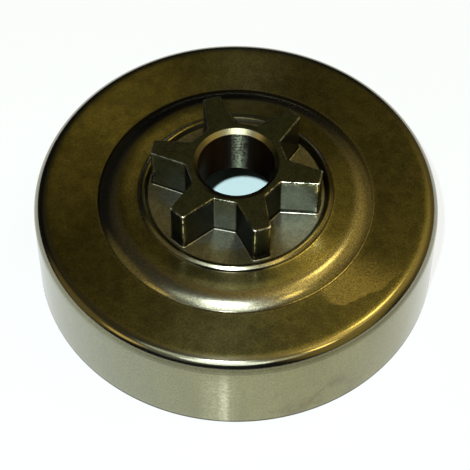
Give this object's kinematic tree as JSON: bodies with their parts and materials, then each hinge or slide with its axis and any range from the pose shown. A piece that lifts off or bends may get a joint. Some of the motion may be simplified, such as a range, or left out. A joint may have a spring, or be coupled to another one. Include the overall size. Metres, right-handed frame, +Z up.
{
  "type": "chainsaw clutch drum",
  "caption": "Shallow round pressed-steel cup with a raised centre boss and a toothed spur sprocket on top; clutch shoes grip its inner wall and the sprocket drives a saw chain.",
  "frame": {"origin": "centre of the open rim's plane, on the spin axis", "axes": "+Z up the spin axis towards the sprocket, +X through a tooth"},
  "size_m": [0.07, 0.07, 0.0272],
  "materials": {
    "drum_steel": "oiled bare steel with an olive bronze film on the closed end and a grey turned side wall",
    "sprocket_steel": "dark hardened steel, burnished bright along the tooth edges"
  },
  "bodies": {
    "root": {"drum_cup": "drum_steel", "spur_sprocket": "sprocket_steel"}
  },
  "joints": []
}
